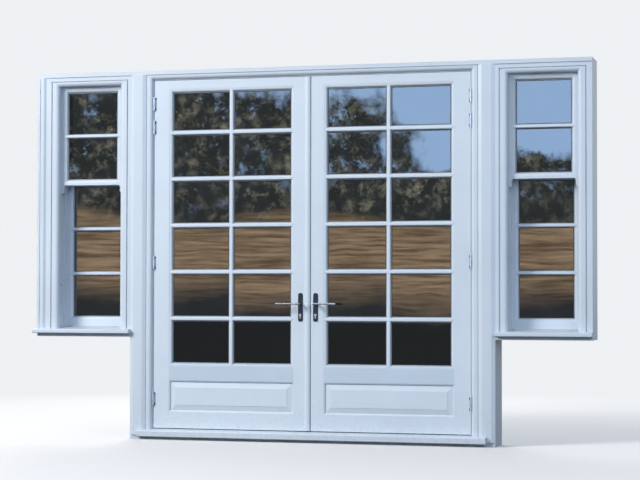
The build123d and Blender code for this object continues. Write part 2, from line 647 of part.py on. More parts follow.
def door_jamb(sill):
    """The hinge-side post of the doorway, with the stop that the leaf shuts against."""
    low = SILL_FOOT
    post = block(DOORWAY_HALF, MULLION_IN, LEAF_FACE, FRAME_DEPTH, low, HEAD_SOFFIT)
    stop = block(DOORWAY_HALF - STOP_LAP, DOORWAY_HALF, STOP_FACE, FRAME_DEPTH, low,
                 HEAD_SOFFIT - STOP_LAP)
    moulding = mitred(rising_edge(DOORWAY_HALF, low), HEAD_SOFFIT - low, frame_ovolo(),
                      FRAME_MOULD, start=0, end=1)
    hidden = block(DOORWAY_HALF, MULLION_IN, 0, LEAF_FACE, FILLET_LOW, FRAME_TOP)
    return post + stop + moulding - hidden - sill


def mullion_post():
    """The post between door and window, with a board on its face that slopes off at both edges."""
    x0, x1 = MULLION_IN, MULLION_OUT
    section = polygon((x0, FRAME_DEPTH), (x0, BOARD_SETBACK), (x0 + BOARD_SLOPE, 0),
                      (x1 - BOARD_SLOPE, 0), (x1, BOARD_SETBACK), (x1, FRAME_DEPTH))
    post = upright(section, MULLION_FOOT, HEAD_SOFFIT)
    board = section & Pos((x0 + x1) / 2, LEAF_FACE / 2) * Rectangle(x1 - x0, LEAF_FACE)
    return post + upright(board, MULLION_FOOT, FILLET_LOW)


def window_jamb_section(inner, side):
    """The channel that the sashes slide in; side is 1 where the opening lies towards +x."""
    edge = inner
    track = inner - side * TRACK_DEPTH
    top = UPPER_FACE - SASH_CLEAR
    back = LOWER_BACK + SASH_CLEAR
    return [(edge, BOARD_SETBACK), (edge, top), (track, top), (track, back), (edge, back),
            (edge, FRAME_DEPTH)]


def window_inner_jamb(sill, recess):
    """The window's post beside the mullion, with the lining that shows and a shadow groove."""
    section = polygon(*window_jamb_section(WINDOW_IN, 1), (MULLION_OUT, FRAME_DEPTH),
                      (MULLION_OUT, BOARD_SETBACK))
    return upright(section, WINDOW_NOSE_LOW, WINDOW_TOP) - recess - sill


def window_outer_jamb(sill, recess, edge):
    """The outermost post, with fixing holes into the wall. The wide one has a board on its face."""
    front = [(edge, BOARD_SETBACK)]
    if edge > BAND_END:
        strip = edge - EDGE_STRIP
        front = [(edge, 0), (strip, 0), (strip, EDGE_QUIRK), (strip - EDGE_QUIRK, EDGE_QUIRK),
                 (strip - EDGE_QUIRK, 0), (BAND_END + OUTER_SLOPE, 0), (BAND_END, BOARD_SETBACK)]
    section = polygon(*window_jamb_section(WINDOW_OUT, -1), (edge, FRAME_DEPTH), *front)
    post = upright(section, WINDOW_NOSE_LOW, WINDOW_TOP)
    width = edge - BAND_OUT
    beside = section & Pos(edge - width / 2, FRAME_DEPTH / 2) * Rectangle(width, FRAME_DEPTH)
    post = post + upright(beside, WINDOW_TOP, HEAD_SOFFIT)
    board = section & Pos(edge - width / 2, LEAF_FACE / 2) * Rectangle(width, LEAF_FACE)
    post = post + upright(board, HEAD_SOFFIT, FILLET_LOW)
    post = post - recess - sill
    track = WINDOW_OUT + TRACK_DEPTH
    deep = edge - FIXING_WALL
    y = UPPER_FACE + SASH_THICK / 2
    for z in FIXING_HEIGHTS:
        plane = Plane(origin=(track, y, z), z_dir=(1, 0, 0))
        post = post - extrude(plane * Circle(FIXING_RADIUS), amount=edge - track)
        post = post - extrude(plane * Circle(FIXING_HEAD_RADIUS), amount=deep - track)
    return post


def window_sill(edge, horn):
    """The window's sloping sill, with a nose that can run on past the frame as a short horn."""
    section = polygon((-WINDOW_SILL_NOSE, WINDOW_NOSE_LOW), (-WINDOW_SILL_NOSE, WINDOW_NOSE_HIGH),
                      (LOWER_FACE, SILL_FLAT), (FRAME_DEPTH, SILL_FLAT),
                      (FRAME_DEPTH, WINDOW_SILL_FOOT), (BOARD_SETBACK, WINDOW_SILL_FOOT),
                      (BOARD_SETBACK, WINDOW_NOSE_LOW))
    sill = along_x(section, MULLION_OUT, edge)
    if horn:
        nose = along_x(section, edge, edge + horn)
        sill = sill + (nose & block(edge, edge + horn, -WINDOW_SILL_NOSE, 0, WINDOW_SILL_FOOT,
                                    SILL_FLAT))
    front = [e for e in sill.edges() if abs(e.center().Y + WINDOW_SILL_NOSE) < 0.1
             and e.length > WINDOW_WIDTH]
    return fillet(front, 6.0)


def frame_head(recess):
    """The one head over door and windows, with the doorway's mitred moulding worked on it."""
    low = HEAD_SOFFIT
    beam = block(-FRAME_LEFT, FRAME_RIGHT, LEAF_FACE, FRAME_DEPTH, low, FRAME_TOP)
    beam = beam + block(-FRAME_LEFT, FRAME_RIGHT, FILLET_SETBACK, LEAF_FACE, FILLET_LOW, FRAME_TOP)
    beam = beam + mitred(lower_edge(DOORWAY_HALF, low), 2 * DOORWAY_HALF, frame_ovolo(),
                         FRAME_MOULD, start=1, end=1)
    inset = DOORWAY_HALF - STOP_LAP
    beam = beam + block(-inset, inset, STOP_FACE, FRAME_DEPTH, low - STOP_LAP, low)
    side = block(MULLION_OUT, BAND_OUT, BOARD_SETBACK, LEAF_FACE, low, FILLET_LOW)
    side = side + block(MULLION_OUT, BAND_OUT, BOARD_SETBACK, UPPER_FACE - SASH_CLEAR,
                        WINDOW_TOP, low)
    side = side + block(MULLION_OUT, BAND_OUT, LOWER_BACK + SASH_CLEAR, FRAME_DEPTH,
                        WINDOW_TOP, low)
    side = side - recess
    beam = beam + side + mirrored(side)
    half = KEEP_POCKET / 2
    for x0, x1 in keep_pockets():
        beam = beam - block(x0, x1, LEAF_MIDDLE - half, LEAF_MIDDLE + half, low,
                            low + 2 * BOLT_THROW)
    return beam - keep_plate("top", pierced=False)


def parting_beads(sill):
    """The thin beads that part the two sashes' tracks, at both sides and along the top."""
    y0 = UPPER_FACE + SASH_THICK + SASH_CLEAR
    y1 = LOWER_FACE - SASH_CLEAR
    low = WINDOW_SILL_FOOT
    left = block(WINDOW_IN - TRACK_DEPTH, WINDOW_IN, y0, y1, low, HEAD_SOFFIT) - sill
    right = block(WINDOW_OUT, WINDOW_OUT + TRACK_DEPTH, y0, y1, low, HEAD_SOFFIT) - sill
    top = block(WINDOW_IN, WINDOW_OUT, y0, y1, HEAD_SOFFIT - TRACK_DEPTH, HEAD_SOFFIT)
    return solids_of(left, right, top)


def sash(face, bottom, top, bottom_rail, top_rail, levels, horns):
    """One sliding sash: stiles, rails and bars with a worked moulding, and its panes."""
    back = face + SASH_THICK
    x0 = WINDOW_IN - TRACK_DEPTH + SASH_CLEAR
    x1 = WINDOW_OUT + TRACK_DEPTH - SASH_CLEAR
    in0 = WINDOW_IN + SASH_STILE - SASH_MOULD_WIDTH
    in1 = WINDOW_OUT - SASH_STILE + SASH_MOULD_WIDTH
    low = bottom + bottom_rail
    high = top - top_rail
    ring = mitred_ring(in0, in1, low, high, face, ovolo(SASH_MOULD_WIDTH, SASH_GLASS_DEPTH),
                       SASH_MOULD_WIDTH)
    foot = bottom - (HORN_DROP if horns else 0)
    left = block(x0, in0, face, back, foot, top) + ring[0]
    right = block(in1, x1, face, back, foot, top) + ring[1]
    if horns:
        left = left - horn_cut(in0, 1, face, bottom)
        right = right - horn_cut(in1, -1, face, bottom)
    lower_rail = block(in0, in1, face, back, bottom, low) + ring[2]
    upper_rail = block(in0, in1, face, back, high, top) + ring[3]
    if horns:
        lower_rail = lower_rail + meeting_lip(back, back + PARTING - SASH_CLEAR, bottom, 0)
    else:
        upper_rail = upper_rail + meeting_lip(face - PARTING + SASH_CLEAR, face, top, SASH_CLEAR)
    section = glazing_bar(SASH_BAR, 1.0, SASH_GLASS_DEPTH, SASH_THICK - 4, SASH_BAR_WEB)
    bars = bar_grid(in0, in1, low, high, [], levels, face, section)
    pieces = [left, right, lower_rail, upper_rail]
    for i, bar in enumerate(bars.solids()):
        for strip in ring[:2]:
            bar = bar - strip
        pieces.append(bar)
    panes = []
    for z0, z1 in spans(low, high, levels, SASH_BAR_WEB):
        panes.append(block(in0 + PANE_CLEAR, in1 - PANE_CLEAR, face + SASH_GLASS_DEPTH,
                           face + SASH_GLASS_DEPTH + SASH_GLASS_THICK,
                           z0 + PANE_CLEAR, z1 - PANE_CLEAR))
    return solids_of(*pieces), solids_of(*panes)


def meeting_lip(y0, y1, edge, clear):
    """The bevelled lip of a meeting rail, which closes the space between the two sashes."""
    rise = (LIP_HIGH - LIP_LOW) / PARTING
    start = UPPER_FACE + SASH_THICK
    slope = [LIP_LOW + clear + (y - start) * rise for y in (y0, y1)]
    section = polygon((y0, edge), (y0, slope[0]), (y1, slope[1]), (y1, edge))
    return along_x(section, WINDOW_IN + SASH_CLEAR, WINDOW_OUT - SASH_CLEAR)


def sash_fasteners():
    """The two catches on top of the lower sash's meeting rail."""
    catches = []
    for share in (-0.27, 0.22):
        x = WINDOW_X + share * WINDOW_WIDTH
        y = LOWER_FACE + SASH_THICK / 2
        base = block(x - 28, x + 28, y - 12, y + 12, MEETING_RAIL_HIGH, MEETING_RAIL_HIGH + 4)
        post = Pos(x, y, MEETING_RAIL_HIGH + 12) * Cylinder(8, 18)
        arm = block(x - 4, x + 34, y - 6, y + 6, MEETING_RAIL_HIGH + 14, MEETING_RAIL_HIGH + 22)
        catches.append(base + post + arm)
    return solids_of(*catches)


def horn_cut(x, side, face, bottom):
    """The waste outside an ogee at the foot of a stile that runs on below the meeting rail."""
    width = SASH_STILE - SASH_MOULD_WIDTH
    drop = HORN_DROP + 1
    plane = Plane(origin=(x, face, bottom), x_dir=(-side, 0, 0), z_dir=(0, side, 0))
    waste = make_face([
        Line((0, 0), (0.12 * width, -0.12 * drop)),
        ThreePointArc((0.12 * width, -0.12 * drop), (0.30 * width, -0.42 * drop),
                      (0.22 * width, -0.62 * drop)),
        ThreePointArc((0.22 * width, -0.62 * drop), (0.42 * width, -0.90 * drop),
                      (0.75 * width, -drop)),
        Line((0.75 * width, -drop), (-1, -drop)),
        Line((-1, -drop), (-1, 0)),
        Line((-1, 0), (0, 0)),
    ])
    return extrude(plane * waste, amount=SASH_THICK, dir=(0, 1, 0))


def window_sashes():
    """Upper and lower sash of one window; the lower one slides behind the upper one."""
    top = HEAD_SOFFIT - TRACK_DEPTH - SASH_CLEAR
    show = top - WINDOW_TOP
    upper_rail = SASH_TOP_RAIL + show - SASH_MOULD_WIDTH
    low = MEETING_RAIL_LOW
    rail = MEETING_RAIL_HIGH - MEETING_RAIL_LOW - SASH_MOULD_WIDTH
    upper_light = (WINDOW_TOP - SASH_TOP_RAIL - MEETING_RAIL_HIGH - SASH_BAR) / 2
    upper_bars = [MEETING_RAIL_HIGH + upper_light + SASH_BAR / 2]
    upper = sash(UPPER_FACE, low, top, rail, upper_rail, upper_bars, horns=True)
    daylight_low = LOWER_SASH_BOTTOM + LOWER_RAIL
    lower_light = (MEETING_RAIL_LOW - daylight_low - 2 * SASH_BAR) / 3
    pitch = lower_light + SASH_BAR
    lower_bars = [daylight_low + (i + 1) * pitch - SASH_BAR / 2 for i in range(2)]
    lower = sash(LOWER_FACE, LOWER_SASH_BOTTOM, MEETING_RAIL_HIGH, LOWER_RAIL - SASH_MOULD_WIDTH,
                 rail, lower_bars, horns=False)
    return upper, lower


def meeting_bead():
    """The rounded bead planted on the left leaf, over the line where the leaves meet."""
    edge = -LEFT_MEETING_EDGE
    x0 = edge - MEETING_BEAD_WIDTH
    y1 = LEAF_FACE
    y0 = LEAF_FACE - MEETING_BEAD_RISE
    section = make_face([
        Line((x0, y1), (x0, y1 - 4)),
        ThreePointArc((x0, y1 - 4), ((x0 + edge) / 2, y0), (edge, y1 - 4)),
        Line((edge, y1 - 4), (edge, y1)),
        Line((edge, y1), (x0, y1)),
    ])
    return upright(section, 2.0, LEAF_HEIGHT - 2.0)


def door_seals():
    """Soft strips on the stops, which the leaves shut against."""
    y0, y1 = LEAF_BACK + PANE_CLEAR, STOP_FACE
    x1 = DOORWAY_HALF - 4
    x0 = DOORWAY_HALF - STOP_LAP + 2
    top0 = HEAD_SOFFIT - STOP_LAP + 2
    right = block(x0, x1, y0, y1, UPSTAND, top0)
    top = block(-x1, x1, y0, y1, top0, HEAD_SOFFIT - 4)
    return solids_of(right, mirrored(right), top)


def save(name, shape):
    """Write one node, moved so that the origin is under the sill, in the middle of its depth."""
    placed = Pos(0, -FRAME_DEPTH / 2, -SILL_FOOT) * solids_of(shape)
    export_step(placed, "parts/" + name + ".step")


def save_pair(name, shape):
    save("right_" + name, shape)
    save("left_" + name, mirrored(shape))


def save_side(side, pieces):
    """Write the pieces of one side, drawn for the right-hand one."""
    for name, shape in pieces.items():
        save(side + name, shape if side == "right_" else mirrored(shape))


threshold = door_sill()
recess = window_recess()
save("door_sill", threshold)
save("head", frame_head(recess))
save_pair("door_jamb", door_jamb(threshold))
save_pair("mullion_post", mullion_post())
for side, edge, horn in (("right_", FRAME_RIGHT, 0.0), ("left_", FRAME_LEFT, WINDOW_SILL_HORN)):
    stool = window_sill(edge, horn)
    save_side(side, {
        "window_sill": stool,
        "window_inner_jamb": window_inner_jamb(stool, recess),
        "window_outer_jamb": window_outer_jamb(stool, recess, edge),
    })
beads = parting_beads(stool)
save("parting_beads", solids_of(beads, mirrored(beads)))

upper_sash, lower_sash = window_sashes()
save_pair("upper_sash", upper_sash[0])
save_pair("upper_sash_glass", upper_sash[1])
save_pair("lower_sash", lower_sash[0])
save_pair("lower_sash_glass", lower_sash[1])
save_pair("sash_fasteners", sash_fasteners())

frame_hinges = solids_of(*[hinge_half(z, True) for z in HINGE_HEIGHTS],
                         *[hinge_pin(z) for z in HINGE_HEIGHTS])
leaf_hinges = solids_of(*[hinge_half(z, False) for z in HINGE_HEIGHTS])
save_pair("hinge_frame_plates", frame_hinges)
save_pair("hinge_leaf_plates", leaf_hinges)

leaves = (("right_", RIGHT_MEETING_EDGE, RIGHT_HANDLE_X), ("left_", LEFT_MEETING_EDGE, LEFT_HANDLE_X))
for side, edge, handle_x in leaves:
    pieces = {**leaf_timber(edge, handle_x), **leaf_lock(edge, handle_x)}
    pieces["lever"] = lever_pair(handle_x)
    save_side(side, pieces)
save("meeting_bead", meeting_bead())
save("bolt_keeps", solids_of(keep_plate("bottom", True), keep_plate("top", True)))
save("door_seals", door_seals())
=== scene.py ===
# %% [markdown]
# # Glazed double doors between two sliding sash windows
#
# The doors, windows and their one timber frame arrive as finished solids. This lesson dresses
# them: a camera and a soft studio first, then paint, glass and metal, and last the small pieces
# that catch the eye from near by, such as screws, keyholes and the sealant round each pane.
# Every length is in metres.

# %% Load the frame
import json
import math

import bmesh
import bpy
from mathutils import Matrix, Vector


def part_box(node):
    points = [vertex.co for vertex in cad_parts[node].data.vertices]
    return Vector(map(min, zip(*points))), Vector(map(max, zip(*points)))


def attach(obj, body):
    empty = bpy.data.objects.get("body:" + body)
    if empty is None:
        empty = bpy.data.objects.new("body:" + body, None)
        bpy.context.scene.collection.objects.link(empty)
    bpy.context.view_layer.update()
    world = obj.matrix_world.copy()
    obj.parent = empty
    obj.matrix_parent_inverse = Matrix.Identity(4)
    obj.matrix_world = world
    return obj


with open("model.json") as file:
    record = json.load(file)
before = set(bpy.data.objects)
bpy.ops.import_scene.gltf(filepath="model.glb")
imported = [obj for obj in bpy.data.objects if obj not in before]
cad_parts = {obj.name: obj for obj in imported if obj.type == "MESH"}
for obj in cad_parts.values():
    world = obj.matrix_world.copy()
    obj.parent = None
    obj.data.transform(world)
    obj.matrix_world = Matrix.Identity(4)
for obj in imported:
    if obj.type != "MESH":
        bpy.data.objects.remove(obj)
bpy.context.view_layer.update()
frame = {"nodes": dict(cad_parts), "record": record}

nodes = frame["nodes"]

# %% [markdown]
# ## Camera
#
# A long lens from some twelve metres away keeps the upright posts parallel. The camera stands to
# the right of the doors, a little over a metre high, and looks slightly left and upwards. Its
# matrix is built from the three directions, so no rotation order has to be remembered.

# %% Camera
CAMERA_PLACE = Vector((3.4884, -12.278, 1.0264))
CAMERA_YAW = math.radians(-15.632)
CAMERA_PITCH = math.radians(1.641)
CAMERA_ROLL = math.radians(0.095)
LENS = 103.73

forward = Vector((math.sin(CAMERA_YAW) * math.cos(CAMERA_PITCH),
                  math.cos(CAMERA_YAW) * math.cos(CAMERA_PITCH), math.sin(CAMERA_PITCH)))
right = Vector((math.cos(CAMERA_YAW), -math.sin(CAMERA_YAW), 0.0))
up = right.cross(forward)
rolled_right = right * math.cos(CAMERA_ROLL) + up * math.sin(CAMERA_ROLL)
rolled_up = up * math.cos(CAMERA_ROLL) - right * math.sin(CAMERA_ROLL)
turn = Matrix((rolled_right, rolled_up, -forward)).transposed().to_4x4()

camera = bpy.data.objects.new("camera", bpy.data.cameras.new("camera"))
camera.data.lens = LENS
camera.data.sensor_width = 36.0
camera.data.clip_end = 200.0
camera.matrix_world = Matrix.Translation(CAMERA_PLACE) @ turn
bpy.context.scene.collection.objects.link(camera)
bpy.context.scene.camera = camera
print("camera", round(CAMERA_PLACE.length, 2), "m from the sill")

# %% [markdown]
# ## Small helpers for node trees
#
# Every finish below is a tree of a few kinds of node: noise, a stretch of its range, a mix of two
# colours, a product and a bump. Each helper makes one and returns its output, so a finish reads
# like a sentence.

# %% Node helpers


def new_material(name):
    """A material, its node tree and its surface shader."""
    material = bpy.data.materials.new(name)
    material.use_nodes = True
    tree = material.node_tree
    return material, tree, tree.nodes["Principled BSDF"]


def link(tree, source, target):
    tree.links.new(source, target)


def feed(tree, sockets, values):
    """Give each socket its number, or a link where the value is another socket."""
    for socket, value in zip(sockets, values):
        if isinstance(value, (int, float)):
            socket.default_value = value
        elif isinstance(value, tuple):
            socket.default_value = (*value, 1.0) if len(socket.default_value) == 4 else value
        else:
            link(tree, value, socket)


def maths(tree, operation, *values):
    node = tree.nodes.new("ShaderNodeMath")
    node.operation = operation
    feed(tree, node.inputs, values)
    return node.outputs[0]


def vector_maths(tree, operation, *values):
    node = tree.nodes.new("ShaderNodeVectorMath")
    node.operation = operation
    feed(tree, node.inputs, values)
    return node.outputs["Vector"]


def map_range(tree, value, low, high, start=0.0, end=1.0):
    """Value between low and high, stretched to run from start to end."""
    node = tree.nodes.new("ShaderNodeMapRange")
    feed(tree, node.inputs, (value, low, high, start, end))
    return node.outputs[0]


def mix_colour(tree, share, first, second):
    """A mix of two colours, each a tuple or a socket."""
    node = tree.nodes.new("ShaderNodeMix")
    node.data_type = "RGBA"
    feed(tree, (node.inputs["Factor"], node.inputs[6], node.inputs[7]), (share, first, second))
    return node.outputs[2]


def coordinates(tree, kind="Object"):
    return tree.nodes.new("ShaderNodeTexCoord").outputs[kind]


def split(tree, vector):
    """The x, y and z of a vector."""
    node = tree.nodes.new("ShaderNodeSeparateXYZ")
    link(tree, vector, node.inputs[0])
    return node.outputs


def noise(tree, vector, scale, detail=3.0, stretch=(1.0, 1.0, 1.0), rough=0.5):
    """Noise along a vector, finer where the stretch is larger."""
    mapping = tree.nodes.new("ShaderNodeMapping")
    mapping.inputs["Scale"].default_value = stretch
    link(tree, vector, mapping.inputs["Vector"])
    node = tree.nodes.new("ShaderNodeTexNoise")
    node.inputs["Scale"].default_value = scale
    node.inputs["Detail"].default_value = detail
    node.inputs["Roughness"].default_value = rough
    link(tree, mapping.outputs[0], node.inputs["Vector"])
    return node.outputs["Fac"]


def bump(tree, height, strength, distance, normal=None):
    node = tree.nodes.new("ShaderNodeBump")
    node.inputs["Strength"].default_value = strength
    node.inputs["Distance"].default_value = distance
    link(tree, height, node.inputs["Height"])
    if normal is not None:
        link(tree, normal, node.inputs["Normal"])
    return node.outputs[0]


def blend_shaders(tree, share, first, second):
    node = tree.nodes.new("ShaderNodeMixShader")
    feed(tree, node.inputs, (share, first, second))
    return node.outputs[0]


def looked_at(tree):
    """The Light Path outputs, and 1 for rays that the camera sends, straight or through glass."""
    rays = tree.nodes.new("ShaderNodeLightPath").outputs
    return rays, maths(tree, "MAXIMUM", rays["Is Camera Ray"], rays["Is Transmission Ray"])


def glow(tree, kind, colour, strength=1.0):
    """A Background or Emission shader of one colour."""
    node = tree.nodes.new(kind)
    feed(tree, (node.inputs["Color"], node.inputs["Strength"]), (colour, strength))
    return node.outputs[0]


# %% [markdown]
# ## Studio
#
# The eye should see one pale tone behind the joinery, but the doors should be lit from the upper
# left and reflect something worth seeing. Light Path tells the kinds of ray apart. What the
# camera sees, or sees through the glass, is the plain backdrop. What polished things mirror is
# banded by height, as outdoors: dark ground, a warm wall, trees, and bright sky above. That gives
# each row of panes its own tone. Noise makes the bands' edges ragged, lets sky through the trees
# and lays courses in the wall. The light itself is a soft sky, brighter overhead, and three
# large lamps.

# %% World
BACKDROP = (0.86, 0.88, 0.90)
HORIZON_LIGHT = (0.20, 0.23, 0.27)
ZENITH_LIGHT = (0.54, 0.63, 0.76)
ZENITH_START = 0.45  # the sine of the angle above which the sky is at its brightest
GROUND_TONE = (0.14, 0.15, 0.16)
WALL = ((0.80, 0.50, 0.27), (2.7, 1.9, 1.15))
FOLIAGE = ((0.13, 0.15, 0.14), (1.9, 1.8, 1.35))
SKY_TONE = (2.6, 4.0, 6.2)
# The sine of the angle above the horizon at which each mirrored band starts and is full
WALL_BAND = (-0.010, 0.008)
LEAF_BAND = (0.034, 0.042)
SKY_BAND = (0.088, 0.098)
SKY_TOP = (0.16, 0.30)  # the bright strip of sky ends here
SKY_SLANT = 0.14  # how much lower the sky starts toward the right
SKY_CENTRE = 0.27
WALL_RAGGED = 0.010
TREE_RAGGED = 0.05
GAP_HEIGHTS = (0.045, 0.080)  # between these, more and more sky shows through the trees
GAP_MOST = 0.7
FRONT = (-0.3, -0.6)  # the bands lie in front of the doors, at low y; elsewhere is plain backdrop

world = bpy.data.worlds.new("studio")
bpy.context.scene.world = world
world.use_nodes = True
sky = world.node_tree
sky.nodes.clear()
rays, seen = looked_at(sky)

direction = coordinates(sky, "Generated")
across, depth, rise = split(sky, direction)
ragged = map_range(sky, noise(sky, direction, 16.0, 8.0, rough=0.65), 0.3, 0.7, -0.5, 0.5)
slant = maths(sky, "MULTIPLY", maths(sky, "ADD", across, SKY_CENTRE), SKY_SLANT)
wall_height = maths(sky, "ADD", rise, maths(sky, "MULTIPLY", ragged, WALL_RAGGED))
tree_height = maths(sky, "ADD", maths(sky, "ADD", rise, slant),
                    maths(sky, "MULTIPLY", ragged, TREE_RAGGED))

courses = noise(sky, direction, 34.0, 5.0, stretch=(1.0, 1.0, 20.0), rough=0.6)
wall = mix_colour(sky, map_range(sky, courses, 0.36, 0.64), *WALL)
branches = noise(sky, direction, 150.0, 8.0, rough=0.8)
masses = map_range(sky, noise(sky, direction, 40.0, 4.0), 0.38, 0.62, 0.25, 1.0)
twigs = maths(sky, "MULTIPLY", map_range(sky, branches, 0.50, 0.64), masses)
foliage = mix_colour(sky, twigs, *FOLIAGE)
holes = map_range(sky, noise(sky, direction, 70.0, 8.0, rough=0.8), 0.56, 0.62)
gaps = maths(sky, "MULTIPLY", holes, map_range(sky, rise, *GAP_HEIGHTS, 0.0, GAP_MOST))
foliage = mix_colour(sky, gaps, foliage, SKY_TONE)
mirrored = mix_colour(sky, map_range(sky, wall_height, *WALL_BAND), GROUND_TONE, wall)
mirrored = mix_colour(sky, map_range(sky, wall_height, *LEAF_BAND), mirrored, foliage)
mirrored = mix_colour(sky, map_range(sky, tree_height, *SKY_BAND), mirrored, SKY_TONE)
mirrored = mix_colour(sky, map_range(sky, rise, *SKY_TOP), mirrored, ZENITH_LIGHT)
mirrored = mix_colour(sky, map_range(sky, depth, *FRONT), BACKDROP, mirrored)

overhead = mix_colour(sky, map_range(sky, rise, 0.0, ZENITH_START), HORIZON_LIGHT, ZENITH_LIGHT)
lit = glow(sky, "ShaderNodeBackground", overhead)
shown = glow(sky, "ShaderNodeBackground", BACKDROP)
gloss = glow(sky, "ShaderNodeBackground", mirrored)
around = blend_shaders(sky, rays["Is Glossy Ray"], blend_shaders(sky, seen, lit, shown), gloss)
link(sky, around, sky.nodes.new("ShaderNodeOutputWorld").inputs["Surface"])
print("world: light from", HORIZON_LIGHT, "to", ZENITH_LIGHT, "backdrop", BACKDROP)

# %% Floor
FLOOR_REACH = 60.0
FLOOR_BOUNCE = (0.09, 0.093, 0.096)
FLOOR_TONE = (0.80, 0.765, 0.735)  # under the cool light it looks like the backdrop
FADE_START = 2.6
FADE_END = 6.5

floor_mesh = bpy.data.meshes.new("floor")
corners = [(x * FLOOR_REACH, y * FLOOR_REACH, 0) for x, y in ((-1, -1), (1, -1), (1, 1), (-1, 1))]
floor_mesh.from_pydata(corners, [], [(0, 1, 2, 3)])
floor = bpy.data.objects.new("floor", floor_mesh)
bpy.context.scene.collection.objects.link(floor)

floor_finish, tree, shader = new_material("floor_finish")
rays, seen = looked_at(tree)
seen_or_mirrored = maths(tree, "MAXIMUM", seen, rays["Is Glossy Ray"])
link(tree, mix_colour(tree, seen, FLOOR_BOUNCE, FLOOR_TONE), shader.inputs["Base Color"])
shader.inputs["Roughness"].default_value = 0.9
shader.inputs["Specular IOR Level"].default_value = 0.1
x, y, _ = split(tree, coordinates(tree))
distance = maths(tree, "SQRT", maths(tree, "ADD", maths(tree, "POWER", x, 2.0),
                                     maths(tree, "POWER", y, 2.0)))
fade = maths(tree, "MULTIPLY", map_range(tree, distance, FADE_START, FADE_END), seen_or_mirrored)
far_tone = mix_colour(tree, rays["Is Glossy Ray"], BACKDROP, GROUND_TONE)
far_floor = glow(tree, "ShaderNodeEmission", far_tone)
link(tree, blend_shaders(tree, fade, shader.outputs[0], far_floor),
     tree.nodes["Material Output"].inputs["Surface"])
floor_mesh.materials.append(floor_finish)
print("floor fades into the backdrop from", FADE_START, "to", FADE_END, "m")

# %% Lamps


def soft_lamp(name, place, target, width, height, power, colour):
    """A rectangular lamp that points at a target."""
    data = bpy.data.lights.new(name, "AREA")
    data.shape = "RECTANGLE"
    data.size, data.size_y = width, height
    data.energy = power
    data.color = colour
    lamp = bpy.data.objects.new(name, data)
    aim = (Vector(target) - Vector(place)).to_track_quat("-Z", "Y")
    lamp.matrix_world = Matrix.Translation(place) @ aim.to_matrix().to_4x4()
    lamp.visible_transmission = False  # no lamp shows through a pane
    bpy.context.scene.collection.objects.link(lamp)
    return lamp


DOOR_MIDDLE = (0.0, 0.0, 1.3)
soft_lamp("key", (-9.5, -9.5, 7.5), DOOR_MIDDLE, 4.5, 4.5, 1820.0, (1.0, 0.985, 0.955))
soft_lamp("fill", (7.5, -9.0, 5.0), DOOR_MIDDLE, 4.0, 4.0, 230.0, (0.84, 0.92, 1.0))
soft_lamp("back", (-3.0, 8.0, 5.0), DOOR_MIDDLE, 5.0, 4.0, 420.0, (1.0, 0.98, 0.95))
bpy.context.scene.view_settings.view_transform = "Standard"

# %% [markdown]
# ## Paint
#
# Exterior joinery paint is satin, brushed on along the length of each piece. Up close it shows
# faint brush lines, a slightly uneven sheen and some dust on ledges. A noise stretched along the
# piece makes the brush lines, and drives both the bump and the roughness. The direction differs
# from piece to piece, so the material is made once for uprights and once for level pieces. The
# whites are darker and bluer than the white paint itself, because they carry painted shade and the
# blue of skylight. The lock rails get a darker, greyer white than the rest. Sharp edges hold less
# paint, so a bevel in the shader rounds them by a little over a millimetre.

# %% Painted timber
BRUSH_FINE = 110.0
BRUSH_LONG = 2.5
EDGE_ROUND = 0.0014
DUST = (0.46, 0.44, 0.40)
SPLASH = (0.40, 0.38, 0.35)


def painted(name, colour, upright):
    """Satin paint brushed along the piece, with dust on ledges and splashes near the floor."""
    material, tree, shader = new_material(name)
    stretch = (BRUSH_FINE, BRUSH_FINE, BRUSH_LONG)
    if not upright:
        stretch = (BRUSH_LONG, BRUSH_FINE, BRUSH_FINE)
    place = coordinates(tree)
    brush = noise(tree, place, 1.0, 4.0, stretch, 0.6)
    cloud = noise(tree, place, 2.2, 3.0)
    speck = noise(tree, place, 38.0, 5.0, rough=0.65)
    facing = split(tree, tree.nodes.new("ShaderNodeNewGeometry").outputs["Normal"])[2]
    height = split(tree, place)[2]

    shade = tuple(0.94 * c for c in colour)
    paint = mix_colour(tree, map_range(tree, cloud, 0.35, 0.7), colour, shade)
    streak = map_range(tree, brush, 0.52, 0.75, 0.0, 0.10)
    paint = mix_colour(tree, streak, paint, DUST)
    ledge = maths(tree, "MULTIPLY", map_range(tree, facing, 0.6, 0.95, 0.0, 0.30),
                  map_range(tree, speck, 0.35, 0.65))
    paint = mix_colour(tree, ledge, paint, DUST)
    low = maths(tree, "MULTIPLY", map_range(tree, height, 0.30, 0.02, 0.0, 0.35),
                map_range(tree, speck, 0.48, 0.72))
    paint = mix_colour(tree, low, paint, SPLASH)
    link(tree, paint, shader.inputs["Base Color"])
    link(tree, map_range(tree, brush, 0.2, 0.8, 0.32, 0.46), shader.inputs["Roughness"])

    soft_edge = tree.nodes.new("ShaderNodeBevel")
    soft_edge.samples = 4
    soft_edge.inputs["Radius"].default_value = EDGE_ROUND
    link(tree, bump(tree, brush, 0.10, 0.0012, soft_edge.outputs[0]), shader.inputs["Normal"])
    return material


# Painted light: both whites are darker and bluer than the white paint itself. They hold painted
# shade and the blue of skylight, and frame and leaves get two tones for the different light that
# falls on them.
FRAME_WHITE_WITH_SKY_SHADE = (0.62, 0.69, 0.775)
LEAF_WHITE_WITH_SKY_SHADE = (0.65, 0.725, 0.81)
